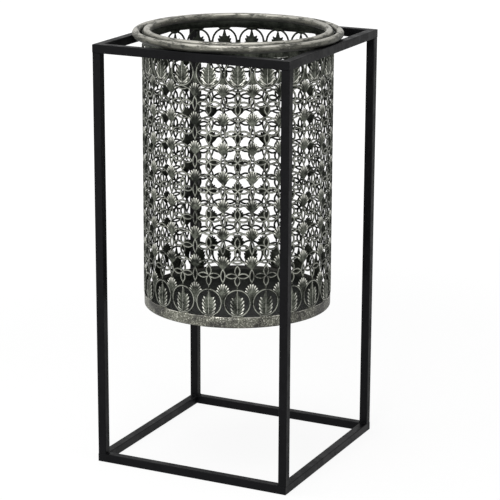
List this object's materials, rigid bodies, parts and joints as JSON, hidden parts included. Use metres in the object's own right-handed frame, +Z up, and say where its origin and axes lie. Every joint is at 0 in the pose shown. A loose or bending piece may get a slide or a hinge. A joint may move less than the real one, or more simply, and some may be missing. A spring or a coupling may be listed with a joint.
{
  "type": "lantern floor lamp",
  "caption": "Pierced metal lantern drum with a closed base, hung by a collar ring in an open square-tube floor frame and lifted out upwards.",
  "frame": {"origin": "middle of the frame's footprint, on the floor", "axes": "+Z up; -Y is the frame's front, +X its right side seen from the front"},
  "size_m": [0.27, 0.27, 0.562],
  "materials": {
    "frame_black": "satin black paint on steel tube",
    "drum_patina": "antique silver patina on pressed steel sheet, dark in the hollows and bright on the ridges",
    "ring_patina": "antique silver patina on round steel tube, rubbed bright on top",
    "base_patina": "dark patina on steel sheet"
  },
  "bodies": {
    "frame": {"upright_front_left": "frame_black", "upright_front_right": "frame_black", "upright_rear_left": "frame_black", "upright_rear_right": "frame_black", "top_rail_front": "frame_black", "top_rail_right": "frame_black", "top_rail_rear": "frame_black", "top_rail_left": "frame_black", "bottom_rail_front": "frame_black", "bottom_rail_right": "frame_black", "bottom_rail_rear": "frame_black", "bottom_rail_left": "frame_black", "top_corner_welds": "frame_black", "bottom_corner_welds": "frame_black"},
    "drum": {"pierced_drum": "drum_patina", "rim_ring": "ring_patina", "hanger_ring": "ring_patina", "rim_tacks": "ring_patina", "hanger_tacks": "ring_patina", "base_pan": "base_patina", "base_tacks": "base_patina"}
  },
  "joints": [
    {"name": "drum_lift", "type": "slide", "parent": "frame", "child": "drum", "axis": [0, 0, 1], "range_m": [0, 0.36]}
  ]
}
